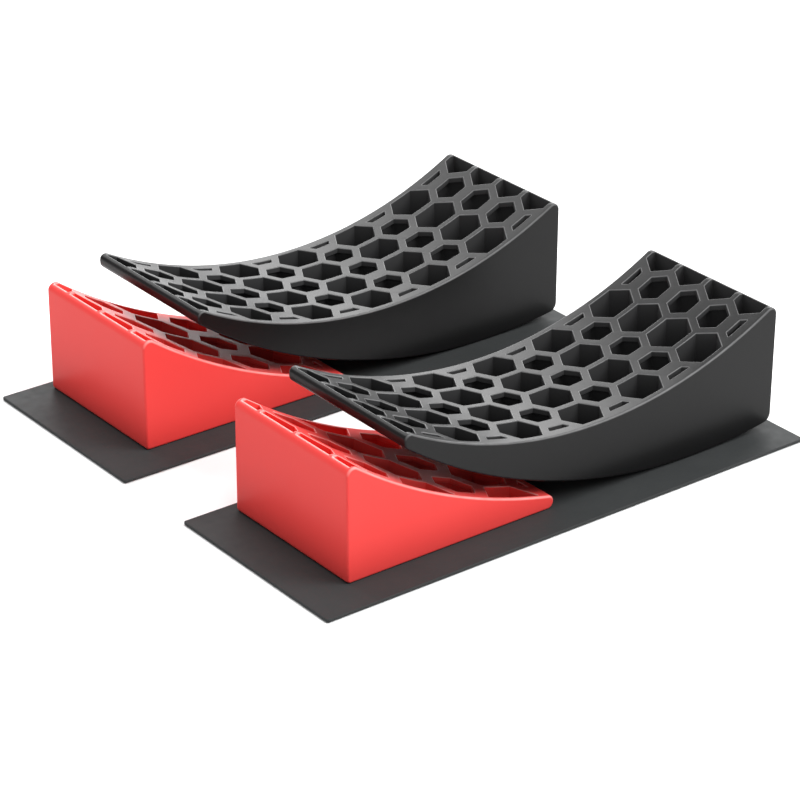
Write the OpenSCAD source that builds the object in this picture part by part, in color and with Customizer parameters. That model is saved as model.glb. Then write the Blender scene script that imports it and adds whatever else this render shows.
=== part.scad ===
// Wheel leveling set: two identical stations side by side. Each station is a flat grip
// mat that carries a curved rocker leveler and a matching wedge chock, both moulded as
// open-topped honeycomb blocks on a closed floor skin.
//
// Frame: origin on the ground midway between the two mats, +X toward the tall ends of
// the levelers, +Y from station 2 to station 1, +Z up. All lengths in millimetres.
// The leveler's underside is one cylinder; the chock's hollow top has the same
// radius and centre height, so a chock slid under a leveler nests against it.

/* [Mat] */
// length of one mat along X
mat_len = 534; // [528:1:620]
// width of one mat along Y
mat_w = 209; // [180:1:260]
// thickness of the rubber sheet
mat_t = 3; // [2:0.5:6]
// radius of the sheet's four corners
mat_corner_r = 2; // [1:0.5:8]

/* [Stations] */
// distance between the centre lines of the two mats
station_pitch = 301; // [270:1:900]

/* [Leveler] */
// length from nose to tall end face
lev_len = 420; // [412:1:428]
// width along Y
lev_w = 164; // [150:1:190]
// radius of the rocker underside
lev_r_under = 555; // [540:1:580]
// distance from the resting line of the underside to the tall end face
lev_heel = 90; // [80:1:100]
// radius of the hollow top that cups the tyre
lev_r_top = 417; // [405:1:430]
// height of the lowest point of the hollow top
lev_low = 68; // [60:1:74]
// distance from the resting line back to the lowest point of the hollow top
lev_low_back = 121.5; // [115:0.5:128]
// side wall thickness
lev_side_wall = 6.2; // [4:0.2:9]
// end wall thickness at nose and tall end
lev_end_wall = 5; // [3.5:0.5:8]

/* [Chock] */
// width along Y
chock_w = 161; // [150:1:185]
// distance from the tall face to the centre line of the hollow top
chock_reach = 337; // [330:1:342]
// radius of the fully rounded tip
chock_tip_r = 6.5; // [5.8:0.1:6.8]
// side wall thickness
chock_side_wall = 4; // [3:0.5:7]
// thickness of the tall wall
chock_back_wall = 7; // [5:0.5:9]
// length of the solid bar behind the tip
chock_nose_bar = 13.5; // [12:0.5:16]

/* [Honeycomb] */
// rib between two neighbouring cells of a row, leveler
lev_rib = 5.7; // [4.5:0.1:7]
// rib between two neighbouring cells of a row, chock
chock_rib = 4.6; // [4:0.1:6.5]
// floor skin under every cell
floor_t = 4; // [3:0.5:5]
// depth of the inward lip round each small cell
lip_t = 5.5; // [4:0.5:7]
// overhang of that lip
lip_w = 4; // [2.5:0.5:4.5]

/* [Placement] */
// gap between the tall face of a chock and the near end of its mat
chock_setback = 47; // [34:1:60]
// gap between the tall face of a leveler and the far end of its mat
lev_setback = 9; // [2:1:20]
// how far the blocks sit off the mat's centre line, toward +Y
block_offset = 12; // [-15:1:15]
// running clearance between leveler and mat, and between nested chock and leveler
clearance = 0.3; // [0.2:0.1:0.5]

/* [Hidden] */

$fn = 120;
eps = 0.5;          // overshoot of cutters
blend = 0.02;       // a fillet circle stands this proud, so it crosses its faces cleanly

mat_color = [0.23, 0.23, 0.24];
lev_color = [0.17, 0.17, 0.18];
chock_color = [0.88, 0.20, 0.18];

// leveler profile, x = 0 on the resting line, z = 0 at the lowest point of the underside
lev_nose = lev_heel - lev_len;
lev_top_cz = lev_low + lev_r_top;
lev_top_cx = -lev_low_back;
lev_heel_top_r = 7;
lev_heel_low_r = 9;
lev_nose_top_r = 5.5;
lev_nose_low_r = 7;
lev_tall = 140;     // above every point of the blocks

// leveler honeycomb
lev_row_inset = 3.6;
lev_rows = 13;
lev_row_dx = (lev_len - 2 * lev_row_inset) / (lev_rows - 1);
lev_in_half = lev_w / 2 - lev_side_wall;
lev_pitch = (2 * lev_in_half + lev_rib) / 4;
lev_cell = lev_pitch - lev_rib;
lev_cell_edge = 23.7;
lev_small_cell = 25.7;
lev_small_edge = 15.8;

// chock profile, x = 0 on the tall face, z = 0 on the underside
chock_r = lev_r_under + clearance;
chock_cz = lev_r_under;
chock_rim_r = 7;
chock_heel_r = 3.5;
chock_tip_dx = sqrt(pow(chock_r + chock_tip_r, 2) - pow(chock_cz - chock_tip_r, 2));
chock_tip_cx = chock_reach - chock_tip_dx;
chock_len = chock_tip_cx + chock_tip_r;

// chock honeycomb
chock_row_dx = 46;
chock_rows = 6;
chock_row_inset = -4;
chock_in_half = chock_w / 2 - chock_side_wall;
chock_pitch = 2 * chock_in_half / 3;
chock_cell = chock_pitch - chock_rib;
chock_cell_edge = 28.6;
chock_small_cell = 34;
chock_small_edge = 20;

// placement of the blocks on a mat, measured from the mat centre
lev_x = mat_len / 2 - lev_setback - lev_heel;
chock_x = -mat_len / 2 + chock_setback;

// one honeycomb cell: long sides along X, points toward +X and -X
module cell(edge, across) {
    half = across / 2;
    point = edge / 2 + half * tan(30);
    polygon([
        [-point, 0], [-edge / 2, half], [edge / 2, half],
        [point, 0], [edge / 2, -half], [-edge / 2, -half]
    ]);
}

// the same cell grown by w on every side
module grown_cell(edge, across, w) {
    cell(edge + 2 * w * tan(30), across + 2 * w);
}

// column of the XY plane between x0 and x1, up to half to either side
module window(x0, x1, half) {
    translate([x0, -half]) square([x1 - x0, 2 * half]);
}

// removes the material outside a fillet circle at c that touches the outline at t1 and t2
module corner_cut(c, r, t1, t2) {
    u = (t1 - c) / r;
    v = (t2 - c) / r;
    reach = r + eps;
    tip = c + 1.4 * r * (u + v) / (1 + u * v);
    difference() {
        polygon([c, c + reach * u, tip, c + reach * v]);
        translate(c) circle(r + blend);
    }
}

// corner between the vertical line x = xe and a hollow circle; side is +1 when the
// material lies on the -X side of the line
module hollow_corner(xe, side, r, centre, r_arc) {
    cx = xe - side * r;
    cz = centre[1] - sqrt(pow(r_arc + r, 2) - pow(cx - centre[0], 2));
    c = [cx, cz];
    corner_cut(c, r, [xe, cz], centre + (c - centre) * r_arc / (r_arc + r));
}

// corner between the vertical line x = xe and the inside of a round underside
module round_corner(xe, side, r, centre, r_arc) {
    cx = xe - side * r;
    cz = centre[1] - sqrt(pow(r_arc - r, 2) - pow(cx - centre[0], 2));
    c = [cx, cz];
    corner_cut(c, r, [xe, cz], centre + (c - centre) * r_arc / (r_arc - r));
}

// turns an XZ outline into a block of width w centred on Y
module across_y(w) {
    translate([0, w / 2, 0]) rotate([90, 0, 0]) linear_extrude(w) children();
}

// rubber sheet with rounded corners
module mat() {
    r = mat_corner_r;
    color(mat_color) linear_extrude(mat_t) union() {
        square([mat_len - 2 * r, mat_w], center = true);
        square([mat_len, mat_w - 2 * r], center = true);
        for (sx = [-1, 1], sy = [-1, 1])
            translate([sx * (mat_len / 2 - r), sy * (mat_w / 2 - r)]) circle(r);
    }
}

module lev_outline() {
    under = [0, lev_r_under];
    top = [lev_top_cx, lev_top_cz];
    difference() {
        intersection() {
            translate(under) circle(lev_r_under);
            translate([lev_nose, 0]) square([lev_len, lev_tall]);
        }
        translate(top) circle(lev_r_top);
        hollow_corner(lev_heel, 1, lev_heel_top_r, top, lev_r_top);
        hollow_corner(lev_nose, -1, lev_nose_top_r, top, lev_r_top);
        round_corner(lev_heel, 1, lev_heel_low_r, under, lev_r_under);
        round_corner(lev_nose, -1, lev_nose_low_r, under, lev_r_under);
    }
}

function lev_row_x(i) = lev_heel - lev_row_inset - i * lev_row_dx;

// rows of four large cells
module lev_large_cells() {
    intersection() {
        window(lev_nose + lev_end_wall, lev_heel - lev_end_wall, lev_in_half);
        for (i = [0 : 2 : lev_rows - 1], k = [-1.5 : 1 : 1.5])
            translate([lev_row_x(i), k * lev_pitch]) cell(lev_cell_edge, lev_cell);
    }
}

// rows of three small cells with a cut one beside each side wall, grown by w
module lev_small_cells(w) {
    intersection() {
        window(lev_nose, lev_heel, lev_in_half - lip_w + w);
        for (i = [1 : 2 : lev_rows - 2], k = [-2 : 1 : 2])
            translate([lev_row_x(i), k * lev_pitch])
                grown_cell(lev_small_edge, lev_small_cell, w);
    }
}

module leveler() {
    color(lev_color) difference() {
        across_y(lev_w) lev_outline();
        intersection() {
            union() {
                linear_extrude(lev_tall) lev_large_cells();
                linear_extrude(lev_tall) lev_small_cells(0);
                difference() {
                    linear_extrude(lev_tall) lev_small_cells(lip_w);
                    across_y(lev_w + eps)
                        translate([lev_top_cx, lev_top_cz]) circle(lev_r_top + lip_t);
                }
            }
            across_y(lev_w + eps)
                translate([0, lev_r_under]) circle(lev_r_under - floor_t);
        }
    }
}

// everything beyond the rounded tip, whose circle touches both the hollow and the underside
module chock_tip_cut(top, tip) {
    up = 3 * chock_tip_r * (top - tip) / norm(top - tip);
    difference() {
        polygon([
            tip, tip + up, tip + [4 * chock_tip_r, up[1]],
            [tip[0] + 4 * chock_tip_r, -eps], [tip[0], -eps]
        ]);
        translate(tip) circle(chock_tip_r + blend);
    }
}

module chock_outline() {
    top = [chock_reach, chock_cz];
    tip = [chock_tip_cx, chock_tip_r];
    difference() {
        square([chock_len + blend, lev_tall]);
        translate(top) circle(chock_r);
        chock_tip_cut(top, tip);
        hollow_corner(0, -1, chock_rim_r, top, chock_r);
        corner_cut(
            [chock_heel_r, chock_heel_r], chock_heel_r,
            [0, chock_heel_r], [chock_heel_r, 0]
        );
    }
}

function chock_row_x(i) = chock_len - chock_row_inset - i * chock_row_dx;

// rows of two whole large cells between two half cells
module chock_large_cells() {
    intersection() {
        window(chock_back_wall, chock_len - chock_nose_bar, chock_in_half);
        for (i = [1 : 2 : chock_rows - 1], k = [-1.5 : 1 : 1.5])
            translate([chock_row_x(i), k * chock_pitch]) cell(chock_cell_edge, chock_cell);
    }
}

// rows of three small cells, grown by w
module chock_small_cells(w) {
    intersection() {
        window(chock_back_wall, chock_len - chock_nose_bar, chock_in_half);
        for (i = [0 : 2 : chock_rows - 2], k = [-1 : 1 : 1])
            translate([chock_row_x(i), k * chock_pitch])
                grown_cell(chock_small_edge, chock_small_cell, w);
    }
}

module chock() {
    color(chock_color) difference() {
        across_y(chock_w) chock_outline();
        translate([0, 0, floor_t]) linear_extrude(lev_tall) chock_large_cells();
        translate([0, 0, floor_t]) linear_extrude(lev_tall) chock_small_cells(0);
        difference() {
            translate([0, 0, floor_t]) linear_extrude(lev_tall) chock_small_cells(lip_w);
            across_y(chock_w + eps)
                translate([chock_reach, chock_cz]) circle(chock_r + lip_t);
        }
    }
}

// centre of station 1 or 2 on the ground
function station(i) = [0, (i == 1 ? 1 : -1) * station_pitch / 2, 0];

module mat_at(i) {
    translate(station(i)) mat();
}

module chock_at(i) {
    translate(station(i) + [chock_x, block_offset, mat_t]) chock();
}

module leveler_at(i) {
    translate(station(i) + [lev_x, block_offset, mat_t + clearance]) leveler();
}

mat_at(1);  // mat_1
chock_at(1);  // chock_1
leveler_at(1);  // leveler_1
mat_at(2);  // mat_2
chock_at(2);  // chock_2
leveler_at(2);  // leveler_2
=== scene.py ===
import math
import bpy
import bmesh
from mathutils import Matrix, Vector
from mathutils.geometry import delaunay_2d_cdt


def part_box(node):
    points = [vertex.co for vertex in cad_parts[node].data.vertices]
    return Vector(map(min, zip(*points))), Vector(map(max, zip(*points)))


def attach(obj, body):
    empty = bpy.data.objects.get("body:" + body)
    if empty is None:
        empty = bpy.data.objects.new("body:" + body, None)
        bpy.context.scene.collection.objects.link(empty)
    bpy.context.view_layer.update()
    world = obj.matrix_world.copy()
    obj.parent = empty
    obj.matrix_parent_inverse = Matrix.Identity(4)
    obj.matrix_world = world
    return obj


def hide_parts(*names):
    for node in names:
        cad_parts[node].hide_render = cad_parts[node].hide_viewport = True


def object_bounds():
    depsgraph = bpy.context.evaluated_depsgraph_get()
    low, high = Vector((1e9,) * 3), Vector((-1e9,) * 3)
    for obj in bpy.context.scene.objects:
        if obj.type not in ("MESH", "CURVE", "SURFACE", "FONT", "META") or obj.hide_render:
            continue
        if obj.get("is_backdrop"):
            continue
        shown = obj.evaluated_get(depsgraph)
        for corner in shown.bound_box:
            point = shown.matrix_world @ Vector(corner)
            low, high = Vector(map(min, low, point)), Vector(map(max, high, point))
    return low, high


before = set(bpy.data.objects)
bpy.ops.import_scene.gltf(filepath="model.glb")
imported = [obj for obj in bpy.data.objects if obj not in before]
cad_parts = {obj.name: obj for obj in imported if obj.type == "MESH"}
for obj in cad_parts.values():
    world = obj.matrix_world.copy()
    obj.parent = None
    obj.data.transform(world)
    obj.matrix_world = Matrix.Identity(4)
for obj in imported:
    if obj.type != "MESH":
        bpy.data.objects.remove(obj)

MM = 0.001
QUARTER = math.pi / 2
FULL = 2 * math.pi
cad_lo, cad_hi = (v.copy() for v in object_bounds())


# ---------------------------------------------------------------- leveler sizes (mm)
# Its origin is on the underside, straight below the centre of the round underside.

LEVELER_LENGTH = 420.0
LEVELER_WIDTH = 164.0
HEEL_X = 90.0
NOSE_X = HEEL_X - LEVELER_LENGTH
UNDER_R = 555.0
SADDLE_R = 417.0
SADDLE_CENTRE = (-121.5, 485.0)
HEEL_TOP_R = 7.0
HEEL_LOW_R = 9.0
NOSE_TOP_R = 5.5
NOSE_LOW_R = 7.0
LEVELER_EDGE_R = 1.8        # rounding between the side faces and the rest
LEVELER_WALL = 6.2
LEVELER_END_WALL = 5.0
LEVELER_RIB = 5.7
LEVELER_FLOOR = 4.0
LEVELER_ROWS = 13
LEVELER_ROW_INSET = 3.6     # from the heel face to the middle of the first row
BIG_EDGE = 23.7             # side of a large cell that runs along the block
SMALL_EDGE = 15.8
SMALL_ACROSS = 25.7
SLIT_WALL = 4.0             # the slits stay this much further from the side faces
LEVELER_LIP = (5.5, 3.6)    # depth and overhang of the lip inside a small cell

# ---------------------------------------------------------------- chock sizes (mm)
# Its origin is on the underside at the tall face.

CHOCK_WIDTH = 161.0
CHOCK_REACH = 337.0         # from the tall face to the centre of the hollow top
CHOCK_CENTRE_Z = 555.0
CHOCK_HOLLOW_R = 555.3
TIP_R = 6.5
RIM_R = 7.0
CHOCK_HEEL_R = 3.5
CHOCK_EDGE_R = 2.2
CHOCK_WALL = 4.0
CHOCK_BACK_WALL = 7.0
CHOCK_RIB = 4.6
CHOCK_FLOOR = 4.0
TIP_BAR = 13.5              # solid bar at the thin end
TIP_BAR_SMALL = 11.0        # the same in front of the three small cells
CHOCK_ROWS = 6
CHOCK_ROW_PITCH = 46.0
CHOCK_ROW_OUTSET = 4.0      # the first row's middle lies this far beyond the thin end
CHOCK_BIG_EDGE = 28.6
CHOCK_SMALL_EDGE = 20.0
CHOCK_SMALL_ACROSS = 34.0
CHOCK_LIP = (5.5, 3.0)
RIM_BEAD_R = 3.4            # inner rounding of the rim along the tall face

# ---------------------------------------------------------------- cells, both blocks (mm)

CELL_CORNER = 0.5
MOUTH_R = 0.9
BEAD_FADE = 2.2             # the rim's rounding dies out over this length
SIDE_MOUTH_MAX = 1.6        # keeps a rounded mouth off the neighbouring cell
FLOOR_FILLET = 1.2
FLOOR_KNEE = 0.35           # the fillet's middle point, in from the wall and up from the floor
LIP_EDGE = 0.6
SAME_POINT = 2e-6           # metres; closer vertices are joined
POINT_STEP = 3.0
CORNER_TURN = 3
SLIVER = 1.0                # sides shorter than this are dropped from a clipped cell
SMOOTH_ANGLE = math.radians(38)

# ---------------------------------------------------------------- points on the side views

LONG_ARC = 110              # points on the leveler's round underside and on its saddle
CHOCK_ARC = 60
TOP_FILLET = 12
LOW_FILLET = 8
TIP_ARC = 22
RIM_ARC = 14
HEEL_ARC = 6
FACE_STEP = 12.0            # mm between points on a flat face
NOSE_STEP = 3.0
LEVELER_MARGIN = 3.0        # mm at each end of the saddle that carries no cell
CHOCK_MARGIN = 2.8
TIP_MARGIN = 2.0

# ---------------------------------------------------------------- mat sizes (mm)

MAT_CORNER_R = 2.0
MAT_EDGE_R = 0.7
MAT_CORNER_STEPS = 5
MAT_SMOOTH_ANGLE = math.radians(50)


# ---------------------------------------------------------------- side views

def line(p, q, step):
    """Points from p towards q without q, with the outward normal of a counter-clockwise outline."""
    d = q - p
    n = max(1, round(d.length / step))
    normal = Vector((d.y, -d.x)).normalized()
    return [(p + d * (i / n), normal) for i in range(n)]


def arc(c, r, a0, a1, n, hollow=False):
    """Points of an arc from angle a0 towards a1 without the last. A hollow arc's normals point inwards."""
    out = []
    for i in range(n):
        a = a0 + (a1 - a0) * i / n
        u = Vector((math.cos(a), math.sin(a)))
        out.append((c + u * r, -u if hollow else u))
    return out


def angle(v):
    return math.atan2(v.y, v.x)


def fillet_hollow(xe, side, r, centre, big):
    """Centre of the fillet between a vertical face at xe and a hollow arc, and the point where both meet."""
    x = xe - side * r
    c = Vector((x, centre.y - math.sqrt((big + r) ** 2 - (x - centre.x) ** 2)))
    return c, centre + (c - centre) * (big / (big + r))


def fillet_round(xe, side, r, centre, big):
    """The same for the inside of the round underside."""
    x = xe - side * r
    c = Vector((x, centre.y - math.sqrt((big - r) ** 2 - (x - centre.x) ** 2)))
    return c, centre + (c - centre) * (big / (big - r))


class Outline:
    """A block's side view: its points with normals, and the height of its top at x."""

    def __init__(self, points, centre, big, left, right, x_lo, x_hi):
        self.points = points
        self.centre = centre
        self.big = big
        self.left = left        # fillet at the low-x end: centre, radius, touching point
        self.right = right      # the same at the high-x end
        self.x_lo = x_lo        # the stretch between x_lo and x_hi carries the cells
        self.x_hi = x_hi

    def z_top(self, x):
        for (c, r, t), beyond in ((self.left, x < self.left[2].x), (self.right, x > self.right[2].x)):
            if beyond:
                return c.y + math.sqrt(max(r * r - (x - c.x) ** 2, 0.0))
        return self.centre.y - math.sqrt(self.big ** 2 - (x - self.centre.x) ** 2)


def leveler_outline():
    under = Vector((0.0, UNDER_R))
    saddle = Vector(SADDLE_CENTRE)
    ht, ht_t = fillet_hollow(HEEL_X, 1, HEEL_TOP_R, saddle, SADDLE_R)
    nt, nt_t = fillet_hollow(NOSE_X, -1, NOSE_TOP_R, saddle, SADDLE_R)
    hl, hl_t = fillet_round(HEEL_X, 1, HEEL_LOW_R, under, UNDER_R)
    nl, nl_t = fillet_round(NOSE_X, -1, NOSE_LOW_R, under, UNDER_R)
    pts = []
    pts += arc(under, UNDER_R, angle(nl_t - under), angle(hl_t - under), LONG_ARC)
    pts += arc(hl, HEEL_LOW_R, angle(hl_t - hl), 0.0, LOW_FILLET)
    pts += line(Vector((HEEL_X, hl.y)), Vector((HEEL_X, ht.y)), FACE_STEP)
    pts += arc(ht, HEEL_TOP_R, 0.0, angle(ht_t - ht), TOP_FILLET)
    pts += arc(saddle, SADDLE_R, angle(ht_t - saddle), angle(nt_t - saddle), LONG_ARC, hollow=True)
    pts += arc(nt, NOSE_TOP_R, angle(nt_t - nt), math.pi, TOP_FILLET)
    pts += line(Vector((NOSE_X, nt.y)), Vector((NOSE_X, nl.y)), NOSE_STEP)
    end = angle(nl_t - nl)
    pts += arc(nl, NOSE_LOW_R, math.pi, end + (FULL if end < 0 else 0), LOW_FILLET)
    nose = (nt, NOSE_TOP_R, nt_t)
    heel = (ht, HEEL_TOP_R, ht_t)
    return Outline(pts, saddle, SADDLE_R, nose, heel, NOSE_X + LEVELER_MARGIN, HEEL_X - LEVELER_MARGIN)


def chock_outline():
    """The chock's side view and its length."""
    hollow = Vector((CHOCK_REACH, CHOCK_CENTRE_Z))
    dx = math.sqrt((CHOCK_HOLLOW_R + TIP_R) ** 2 - (hollow.y - TIP_R) ** 2)
    tip = Vector((CHOCK_REACH - dx, TIP_R))
    tip_t = hollow + (tip - hollow) * (CHOCK_HOLLOW_R / (CHOCK_HOLLOW_R + TIP_R))
    rim, rim_t = fillet_hollow(0.0, -1, RIM_R, hollow, CHOCK_HOLLOW_R)
    heel = Vector((CHOCK_HEEL_R, CHOCK_HEEL_R))
    pts = []
    pts += line(Vector((CHOCK_HEEL_R, 0.0)), Vector((tip.x, 0.0)), FACE_STEP)
    pts += arc(tip, TIP_R, -QUARTER, angle(tip_t - tip), TIP_ARC)
    pts += arc(hollow, CHOCK_HOLLOW_R, angle(tip_t - hollow), angle(rim_t - hollow), CHOCK_ARC, hollow=True)
    pts += arc(rim, RIM_R, angle(rim_t - rim), 2 * QUARTER, RIM_ARC)
    pts += line(Vector((0.0, rim.y)), Vector((0.0, CHOCK_HEEL_R)), FACE_STEP)
    pts += arc(heel, CHOCK_HEEL_R, 2 * QUARTER, 3 * QUARTER, HEEL_ARC)
    left = (rim, RIM_R, rim_t)
    right = (tip, TIP_R, tip_t)
    outline = Outline(pts, hollow, CHOCK_HOLLOW_R, left, right, CHOCK_MARGIN, tip.x - TIP_MARGIN)
    return outline, tip.x + TIP_R


# ---------------------------------------------------------------- honeycomb cells, seen from above

def hexagon(x, y, edge, across):
    h = across / 2
    p = edge / 2 + h * math.tan(math.radians(30))
    return [Vector(v) for v in ((x + edge / 2, y - h), (x + p, y), (x + edge / 2, y + h),
                                (x - edge / 2, y + h), (x - p, y), (x - edge / 2, y - h))]


def clip(poly, axis, limit, keep_below):
    """The part of a convex polygon on one side of the line where its axis equals limit."""
    sign = 1 if keep_below else -1
    out = []
    for a, b in zip(poly, poly[1:] + poly[:1]):
        da = sign * (limit - a[axis])
        db = sign * (limit - b[axis])
        if da >= 0:
            out.append(a)
        if da * db < 0:
            out.append(a.lerp(b, da / (da - db)))
    return out


def window(poly, x0, x1, half):
    """The part of a cell inside the block's walls, or None."""
    for axis, limit, below in ((0, x0, False), (0, x1, True), (1, -half, False), (1, half, True)):
        poly = clip(poly, axis, limit, below)
        if len(poly) < 3:
            return None
    kept = [p for p, q in zip(poly, poly[1:] + poly[:1]) if (q - p).length > SLIVER]
    return kept if len(kept) > 2 else None


def core(poly, r):
    """The convex polygon with every side moved in by r."""
    n = len(poly)
    out = []
    for i in range(n):
        a, b, c = poly[i - 1], poly[i], poly[(i + 1) % n]
        u, v = (b - a).normalized(), (c - b).normalized()
        nu, nv = Vector((u.y, -u.x)), Vector((v.y, -v.x))
        out.append(b - (nu + nv) * (r / (1 + nu.dot(nv))))
    return out


def ring(inner, r):
    """Rounded polygon at distance r outside inner. The count of points doesn't depend on r."""
    n = len(inner)
    out = []
    for i in range(n):
        a, b, c = inner[i - 1], inner[i], inner[(i + 1) % n]
        u, v = (b - a).normalized(), (c - b).normalized()
        a0 = math.atan2(-u.x, u.y)
        a1 = math.atan2(-v.x, v.y)
        while a1 < a0:
            a1 += FULL
        for k in range(CORNER_TURN + 1):
            t = a0 + (a1 - a0) * k / CORNER_TURN
            out.append(b + Vector((math.cos(t), math.sin(t))) * r)
        start = out[-1]
        end = c + Vector((v.y, -v.x)) * r
        m = max(1, round((c - b).length / POINT_STEP))
        out += [start.lerp(end, k / m) for k in range(1, m)]
    return out


def within(p, poly):
    """Whether p is inside the polygon, by counting the sides that a ray from p crosses."""
    odd = False
    for a, b in zip(poly, poly[1:] + poly[:1]):
        if (a.y > p.y) != (b.y > p.y) and p.x < a.x + (b.x - a.x) * (p.y - a.y) / (b.y - a.y):
            odd = not odd
    return odd


# ---------------------------------------------------------------- block meshes

class Block:
    """A moulded block: its side view swept across Y with rounded side edges, and cells sunk in its top.

    Two values go with every vertex: rim is 1 where a painted highlight runs along an edge, inner is 1 high on
    a cell's wall, where painted light lightens it.
    """

    SIDE_STEPS = 5
    MOUTH_STEPS = 4

    def __init__(self, outline, width, edge_r):
        self.outline = outline
        self.width = width
        self.edge_r = edge_r
        self.bm = bmesh.new()
        # rim carries a painted highlight along edges, inner carries painted light high on the cell walls.
        self.rim = self.bm.verts.layers.float.new("rim")
        self.inner = self.bm.verts.layers.float.new("inner")
        self.mouths = []

    def vert(self, x, y, z, rim=0.0, inner=0.0):
        v = self.bm.verts.new((x * MM, y * MM, z * MM))
        v[self.rim] = rim
        v[self.inner] = inner
        return v

    def bridge(self, a, b):
        """Faces between two closed loops of the same length."""
        for i in range(len(a)):
            k = (i + 1) % len(a)
            self.bm.faces.new((a[i], a[k], b[k], b[i]))

    def skin(self):
        """Everything but the stretch of the top that carries the cells. Returns that stretch's points."""
        o = self.outline
        pts = o.points
        n = len(pts)
        facing_up = 0.2
        inside = [o.x_lo <= p.x <= o.x_hi and normal.y > facing_up for p, normal in pts]
        loops = {}
        for side in (-1, 1):
            rings = []
            for j in range(self.SIDE_STEPS + 1):
                f = QUARTER * j / self.SIDE_STEPS
                inset = self.edge_r * (1 - math.cos(f))
                y = self.width / 2 - self.edge_r + self.edge_r * math.sin(f)
                # Painted highlight along the side rounding, only where the outline faces up.
                painted_highlight = math.sin(2 * f)
                loop = []
                for p, normal in pts:
                    q = p - normal * inset
                    loop.append(self.vert(q.x, side * y, q.y, painted_highlight * max(normal.y, 0.0)))
                rings.append(loop)
            for a, b in zip(rings, rings[1:]):
                self.bridge(a, b)
            self.bm.faces.new(rings[-1])
            loops[side] = rings[0]
        for i in range(n):
            k = (i + 1) % n
            if not (inside[i] and inside[k]):
                self.bm.faces.new((loops[-1][i], loops[-1][k], loops[1][k], loops[1][i]))
        return sorted((p for (p, _), held in zip(pts, inside) if held), key=lambda p: p.x)

    def cell(self, poly, floor, lip=None, bead=None):
        """A cell with a rounded mouth, a wall and a floor.

        floor gives the floor's height at x. lip is the depth and overhang of an inward lip.
        bead is (x, radius): along the wall at x the mouth has that larger radius.
        """
        inner = core(poly, CELL_CORNER)
        z_top = self.outline.z_top
        walls = ring(inner, CELL_CORNER)
        radii = [MOUTH_R] * len(walls)
        if bead:
            bead_x, bead_r = bead
            radii = [max(MOUTH_R, bead_r * (1 - min((p.x - bead_x) / BEAD_FADE, 1.0))) for p in walls]
        away = []
        for a, b, r in zip(walls, ring(inner, CELL_CORNER + 1), radii):
            d = b - a
            away.append(Vector((d.x * r, d.y * min(r, SIDE_MOUTH_MAX))))
        rings = []
        for j in range(self.MOUTH_STEPS + 1):
            f = QUARTER * j / self.MOUTH_STEPS
            spread = 1 - math.sin(f)
            drop = 1 - math.cos(f)
            rings.append([(p.x + d.x * spread, p.y + d.y * spread, z_top(p.x + d.x * spread) - r * drop)
                          for p, d, r in zip(walls, away, radii)])
        base = CELL_CORNER
        if lip:
            depth, over = lip
            base += over
            rings.append([(p.x, p.y, z_top(p.x) - depth + LIP_EDGE) for p in walls])
            rings.append([(p.x, p.y, z_top(p.x) - depth) for p in ring(inner, CELL_CORNER + LIP_EDGE)])
            rings.append([(p.x, p.y, z_top(p.x) - depth) for p in ring(inner, base)])
        wall_end = len(rings)
        for inset, rise in ((0.0, FLOOR_FILLET), (FLOOR_KNEE, FLOOR_KNEE), (FLOOR_FILLET, 0.0)):
            rings.append([(p.x, p.y, floor(p.x) + rise) for p in ring(inner, base - inset)])
        made = []
        for j, points in enumerate(rings):
            # Painted highlight on the mouth's rounding.
            rim = 1.0 if 0 < j < self.MOUTH_STEPS else 0.0
            # Painted light on the wall below the mouth, fading towards the floor.
            lit_wall = 1.0 if self.MOUTH_STEPS <= j < wall_end else 0.0
            made.append([self.vert(*p, rim=rim, inner=lit_wall) for p in points])
        for a, b in zip(made, made[1:]):
            self.bridge(a, b)
        last = made[-1]
        cx = sum(v.co.x for v in last) / len(last) / MM
        cy = sum(v.co.y for v in last) / len(last) / MM
        mid = self.vert(cx, cy, floor(cx))
        for i in range(len(last)):
            self.bm.faces.new((last[i], last[(i + 1) % len(last)], mid))
        self.mouths.append([Vector((x, y)) for x, y, z in rings[0]])

    def lid(self, stretch):
        """The top between the cells."""
        half = self.width / 2 - self.edge_r
        coords = []
        edges = []

        def loop(points):
            base = len(coords)
            coords.extend(Vector((p.x, p.y)) for p in points)
            edges.extend((base + i, base + (i + 1) % len(points)) for i in range(len(points)))

        loop([Vector((p.x, -half)) for p in stretch] + [Vector((p.x, half)) for p in reversed(stretch)])
        for mouth in self.mouths:
            loop(mouth)
        verts, _, faces, *_ = delaunay_2d_cdt(coords, edges, [], 1, 1e-5)
        boxes = [(min(p.x for p in m), max(p.x for p in m), min(p.y for p in m), max(p.y for p in m), m)
                 for m in self.mouths]
        made = [self.vert(v.x, v.y, self.outline.z_top(v.x)) for v in verts]
        for f in faces:
            c = sum((verts[i] for i in f), Vector((0.0, 0.0))) / len(f)
            if not any(x0 < c.x < x1 and y0 < c.y < y1 and within(c, m) for x0, x1, y0, y1, m in boxes):
                self.bm.faces.new([made[i] for i in f])

    def mesh(self, name):
        bmesh.ops.remove_doubles(self.bm, verts=self.bm.verts, dist=SAME_POINT)
        return finished(self.bm, name, SMOOTH_ANGLE)


def finished(bm, name, smooth_angle):
    """The mesh of bm, shaded smooth but for edges sharper than smooth_angle."""
    bmesh.ops.recalc_face_normals(bm, faces=bm.faces)
    for f in bm.faces:
        f.smooth = True
    me = bpy.data.meshes.new(name)
    bm.to_mesh(me)
    bm.free()
    me.set_sharp_from_angle(angle=smooth_angle)
    return me


def leveler_floor(x):
    return UNDER_R - math.sqrt((UNDER_R - LEVELER_FLOOR) ** 2 - x * x)


def chock_floor(x):
    return CHOCK_FLOOR


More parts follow.
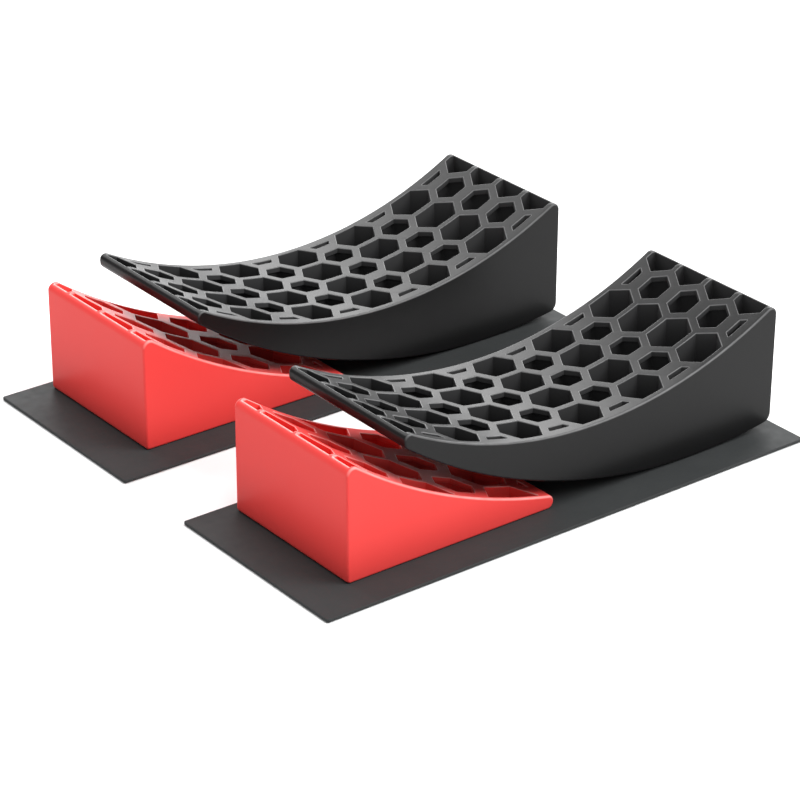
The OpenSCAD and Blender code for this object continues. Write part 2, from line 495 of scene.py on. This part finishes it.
def leveler_mesh():
    """Rows of four large cells alternate with rows of small ones, three whole and two slits at the sides."""
    block = Block(leveler_outline(), LEVELER_WIDTH, LEVELER_EDGE_R)
    stretch = block.skin()
    half = LEVELER_WIDTH / 2 - LEVELER_WALL
    slit_half = half - SLIT_WALL
    pitch = (2 * half + LEVELER_RIB) / 4
    row_pitch = (LEVELER_LENGTH - 2 * LEVELER_ROW_INSET) / (LEVELER_ROWS - 1)
    for i in range(LEVELER_ROWS):
        x = HEEL_X - LEVELER_ROW_INSET - i * row_pitch
        if i % 2 == 0:
            for k in (-1.5, -0.5, 0.5, 1.5):
                cell = hexagon(x, k * pitch, BIG_EDGE, pitch - LEVELER_RIB)
                cell = window(cell, NOSE_X + LEVELER_END_WALL, HEEL_X - LEVELER_END_WALL, half)
                if cell:
                    block.cell(cell, leveler_floor)
        else:
            for k in (-2, -1, 0, 1, 2):
                cell = window(hexagon(x, k * pitch, SMALL_EDGE, SMALL_ACROSS), NOSE_X, HEEL_X, slit_half)
                if cell:
                    block.cell(cell, leveler_floor, LEVELER_LIP)
    block.lid(stretch)
    return block.mesh("leveler_shell")


def chock_mesh():
    """Rows of large cells alternate with rows of three small ones. The last large row lies at the rim."""
    outline, length = chock_outline()
    block = Block(outline, CHOCK_WIDTH, CHOCK_EDGE_R)
    stretch = block.skin()
    half = CHOCK_WIDTH / 2 - CHOCK_WALL
    pitch = 2 * half / 3
    for i in range(CHOCK_ROWS):
        x = length + CHOCK_ROW_OUTSET - i * CHOCK_ROW_PITCH
        if i % 2:
            bead = (CHOCK_BACK_WALL, RIM_BEAD_R) if i == CHOCK_ROWS - 1 else None
            for k in (-1.5, -0.5, 0.5, 1.5):
                cell = hexagon(x, k * pitch, CHOCK_BIG_EDGE, pitch - CHOCK_RIB)
                cell = window(cell, CHOCK_BACK_WALL, length - TIP_BAR, half)
                if cell:
                    block.cell(cell, chock_floor, bead=bead)
        else:
            bar = TIP_BAR if i else TIP_BAR_SMALL
            for k in (-1, 0, 1):
                cell = hexagon(x, k * pitch, CHOCK_SMALL_EDGE, CHOCK_SMALL_ACROSS)
                cell = window(cell, CHOCK_BACK_WALL, length - bar, half)
                if cell:
                    block.cell(cell, chock_floor, CHOCK_LIP)
    block.lid(stretch)
    return block.mesh("chock_shell")


def mat_mesh(sx, sy, sz):
    """A flat sheet of sx by sy by sz metres with small corners and slightly rounded edges."""
    bm = bmesh.new()
    r = MAT_CORNER_R * MM
    edge = MAT_EDGE_R * MM
    part = 0.3 * edge
    rings = []
    for inset, z in ((edge, 0.0), (part, part), (0.0, edge), (0.0, sz - edge), (part, sz - part), (edge, sz)):
        loop = []
        for cx, cy, a0 in ((1, -1, -90), (1, 1, 0), (-1, 1, 90), (-1, -1, 180)):
            c = Vector((cx * (sx / 2 - r), cy * (sy / 2 - r)))
            for k in range(MAT_CORNER_STEPS + 1):
                a = math.radians(a0 + 90 * k / MAT_CORNER_STEPS)
                p = c + Vector((math.cos(a), math.sin(a))) * (r - inset)
                loop.append(bm.verts.new((p.x, p.y, z)))
        rings.append(loop)
    for a, b in zip(rings, rings[1:]):
        for i in range(len(a)):
            k = (i + 1) % len(a)
            bm.faces.new((a[i], a[k], b[k], b[i]))
    bm.faces.new(list(reversed(rings[0])))
    bm.faces.new(rings[-1])
    return finished(bm, "mat_sheet", MAT_SMOOTH_ANGLE)


# ---------------------------------------------------------------- materials

FLOW_SCALE = 9.0            # broad mottling of moulded plastic
SHEEN_SCALE = 25.0          # patches of more and less gloss
EDGE_HIGHLIGHT_SCALE = 60.0            # breaks up the painted highlight along the edges
GRAIN_SCALE = 160.0         # fine skin of the mould
GRAIN_STRENGTH = 0.25
RUBBER_TONE_SCALE = 30.0
RUBBER_SHEEN_SCALE = 120.0
RUBBER_GRAIN_SCALE = 300.0
RUBBER_GRAIN_STRENGTH = 0.3
GRAIN_DEPTH = 0.0001
PAPER_SCALE = 3.0


def material(name):
    m = bpy.data.materials.new(name)
    m.use_nodes = True
    t = m.node_tree
    return m, t.nodes, t.links, t.nodes["Principled BSDF"]


def noise(nodes, links, vec, scale, detail):
    n = nodes.new("ShaderNodeTexNoise")
    n.inputs["Scale"].default_value = scale
    n.inputs["Detail"].default_value = detail
    n.inputs["Roughness"].default_value = 0.5
    links.new(vec, n.inputs["Vector"])
    return n.outputs["Fac"]


def mapped(nodes, links, value, lo, hi, from_lo=0.0, from_hi=1.0):
    n = nodes.new("ShaderNodeMapRange")
    n.inputs["From Min"].default_value = from_lo
    n.inputs["From Max"].default_value = from_hi
    n.inputs["To Min"].default_value = lo
    n.inputs["To Max"].default_value = hi
    links.new(value, n.inputs["Value"])
    return n.outputs["Result"]


def colour_mix(nodes, links, fac, a, b):
    """Mixes a and b by fac. a is a colour or a socket, b is a colour."""
    n = nodes.new("ShaderNodeMix")
    n.data_type = "RGBA"
    links.new(fac, n.inputs["Factor"])
    if isinstance(a, tuple):
        n.inputs["A"].default_value = (*a, 1)
    else:
        links.new(a, n.inputs["A"])
    n.inputs["B"].default_value = (*b, 1)
    return n.outputs["Result"]


def attribute(nodes, name):
    n = nodes.new("ShaderNodeAttribute")
    n.attribute_name = name
    return n.outputs["Fac"]


def grain(nodes, links, bsdf, height, strength):
    bump = nodes.new("ShaderNodeBump")
    bump.inputs["Strength"].default_value = strength
    bump.inputs["Distance"].default_value = GRAIN_DEPTH
    links.new(height, bump.inputs["Height"])
    links.new(bump.outputs["Normal"], bsdf.inputs["Normal"])


def moulded(name, base, mottled, painted_highlight, wall_light, rough_lo, rough_hi, specular):
    """Satin injection-moulded plastic: faint flow mottling, uneven sheen, a painted highlight along the
    edges.

    The colour given for the walls is painted light: it lightens the walls of the cells near their tops.
    """
    m, nodes, links, bsdf = material(name)
    vec = nodes.new("ShaderNodeTexCoord").outputs["Object"]
    body = colour_mix(nodes, links, noise(nodes, links, vec, FLOW_SCALE, 3.0), base, mottled)
    # Painted light: the walls of the cells lighter near their tops.
    body = colour_mix(nodes, links, attribute(nodes, "inner"), body, wall_light)
    # Painted highlight along the edges, broken up by noise.
    highlight_amount = nodes.new("ShaderNodeMath")
    highlight_amount.operation = "MULTIPLY"
    links.new(attribute(nodes, "rim"), highlight_amount.inputs[0])
    links.new(mapped(nodes, links, noise(nodes, links, vec, EDGE_HIGHLIGHT_SCALE, 3.0), 0.35, 1.0), highlight_amount.inputs[1])
    links.new(colour_mix(nodes, links, highlight_amount.outputs[0], body, painted_highlight), bsdf.inputs["Base Color"])
    sheen = mapped(nodes, links, noise(nodes, links, vec, SHEEN_SCALE, 4.0), rough_lo, rough_hi)
    links.new(sheen, bsdf.inputs["Roughness"])
    bsdf.inputs["Specular IOR Level"].default_value = specular
    grain(nodes, links, bsdf, noise(nodes, links, vec, GRAIN_SCALE, 2.0), GRAIN_STRENGTH)
    return m


def rubber(name, base, mottled, rough_lo, rough_hi, specular):
    m, nodes, links, bsdf = material(name)
    vec = nodes.new("ShaderNodeTexCoord").outputs["Object"]
    tone = noise(nodes, links, vec, RUBBER_TONE_SCALE, 6.0)
    links.new(colour_mix(nodes, links, tone, base, mottled), bsdf.inputs["Base Color"])
    sheen = noise(nodes, links, vec, RUBBER_SHEEN_SCALE, 5.0)
    links.new(mapped(nodes, links, sheen, rough_lo, rough_hi, 0.3, 0.7), bsdf.inputs["Roughness"])
    bsdf.inputs["Specular IOR Level"].default_value = specular
    grain(nodes, links, bsdf, noise(nodes, links, vec, RUBBER_GRAIN_SCALE, 3.0), RUBBER_GRAIN_STRENGTH)
    return m


def paper(name, base, mottled):
    m, nodes, links, bsdf = material(name)
    vec = nodes.new("ShaderNodeTexCoord").outputs["Object"]
    tone = noise(nodes, links, vec, PAPER_SCALE, 4.0)
    links.new(colour_mix(nodes, links, tone, base, mottled), bsdf.inputs["Base Color"])
    bsdf.inputs["Roughness"].default_value = 0.9
    bsdf.inputs["Specular IOR Level"].default_value = 0.1
    return m


LEVELER_PLASTIC = moulded(
    "leveler_plastic",
    base=(0.006, 0.006, 0.0062),
    mottled=(0.008, 0.008, 0.0083),
    # painted highlight along the edges
    painted_highlight=(0.19, 0.19, 0.192),
    # painted light high on the cell walls
    wall_light=(0.052, 0.052, 0.053),
    rough_lo=0.26,
    rough_hi=0.34,
    specular=0.17,
)
CHOCK_PLASTIC = moulded(
    "chock_plastic",
    base=(0.83, 0.068, 0.063),
    mottled=(0.79, 0.061, 0.056),
    # painted highlight along the edges
    painted_highlight=(0.95, 0.42, 0.40),
    # painted light high on the cell walls
    wall_light=(0.95, 0.090, 0.080),
    rough_lo=0.26,
    rough_hi=0.34,
    specular=0.08,
)
MAT_RUBBER = rubber(
    "mat_rubber",
    base=(0.034, 0.0365, 0.037),
    mottled=(0.042, 0.0445, 0.045),
    rough_lo=0.52,
    rough_hi=0.64,
    specular=0.1,
)


# ---------------------------------------------------------------- pieces in place

def place(name, mesh, mat, where, node, body):
    o = bpy.data.objects.new(name, mesh)
    bpy.context.scene.collection.objects.link(o)
    if not mesh.materials:
        mesh.materials.append(mat)
    o.location = where
    normals = o.modifiers.new("normals", "WEIGHTED_NORMAL")
    normals.keep_sharp = True
    normals.weight = 100
    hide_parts(node)
    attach(o, body)


leveler = leveler_mesh()
chock = chock_mesh()
mat_lo, mat_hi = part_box("mat_1")
mat = mat_mesh(*(mat_hi - mat_lo))
for i in (1, 2):
    lo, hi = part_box(f"mat_{i}")
    where = ((lo.x + hi.x) / 2, (lo.y + hi.y) / 2, lo.z)
    place(f"grip_mat_{i}", mat, MAT_RUBBER, where, f"mat_{i}", f"base_{i}")
    lo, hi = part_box(f"chock_{i}")
    where = (lo.x, (lo.y + hi.y) / 2, lo.z)
    place(f"wedge_chock_{i}", chock, CHOCK_PLASTIC, where, f"chock_{i}", f"wedge_{i}")
    lo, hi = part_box(f"leveler_{i}")
    where = (hi.x - HEEL_X * MM, (lo.y + hi.y) / 2, lo.z)
    place(f"rocker_leveler_{i}", leveler, LEVELER_PLASTIC, where,
          f"leveler_{i}", f"rocker_{i}")


# ---------------------------------------------------------------- floor, light, camera

FLOOR_HALF = 12.0
FLOOR_DROP = 0.0006         # keeps the floor just clear of the mats
AMBIENT = 0.5
LIGHT_TARGET = (0, 0, 0.05)

scene = bpy.context.scene


def floor():
    bm = bmesh.new()
    bmesh.ops.create_grid(bm, x_segments=2, y_segments=2, size=FLOOR_HALF)
    me = bpy.data.meshes.new("floor")
    bm.to_mesh(me)
    bm.free()
    o = bpy.data.objects.new("floor", me)
    scene.collection.objects.link(o)
    o.location.z = -FLOOR_DROP
    me.materials.append(paper("paper", (0.90, 0.90, 0.90), (0.92, 0.92, 0.92)))
    o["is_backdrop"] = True


def softbox(name, where, width, height, power):
    light = bpy.data.lights.new(name, "AREA")
    light.shape = "RECTANGLE"
    light.size = width
    light.size_y = height
    light.energy = power
    o = bpy.data.objects.new(name, light)
    scene.collection.objects.link(o)
    o.location = where
    o.rotation_euler = (Vector(LIGHT_TARGET) - Vector(where)).to_track_quat("-Z", "Y").to_euler()


floor()

world = bpy.data.worlds.new("studio")
scene.world = world
world.use_nodes = True
background = world.node_tree.nodes["Background"]
background.inputs["Color"].default_value = (1, 1, 1, 1)
background.inputs["Strength"].default_value = AMBIENT

softbox("key", (1.5, -1.9, 2.0), 1.5, 1.5, 62)
softbox("far_right", (1.87, 1.87, 1.41), 3.2, 2.0, 92)
softbox("back_high", (-0.34, 2.13, 2.08), 1.6, 1.6, 36)
softbox("overhead", (0.2, -0.6, 2.4), 1.4, 1.4, 36)

CAMERA_PLACE = (-1.4968, -1.9449, 1.240)
CAMERA_RIGHT = Vector((0.7920, -0.6105, 0.0))
CAMERA_UP = Vector((0.2717, 0.3524, 0.8955))
CAMERA_ROLL = math.radians(0.239)

camera_data = bpy.data.cameras.new("camera")
camera_data.sensor_width = 36.0
camera_data.lens = 134.98
camera_data.clip_start = 0.1
camera_data.clip_end = 60.0
camera = bpy.data.objects.new("camera", camera_data)
scene.collection.objects.link(camera)
axes = Matrix((CAMERA_RIGHT, CAMERA_UP, CAMERA_RIGHT.cross(CAMERA_UP))).transposed()
turned = axes @ Matrix.Rotation(CAMERA_ROLL, 3, "Z")
camera.matrix_world = Matrix.Translation(CAMERA_PLACE) @ turned.to_4x4()
scene.camera = camera

scene.view_settings.view_transform = "Standard"
scene.view_settings.look = "None"
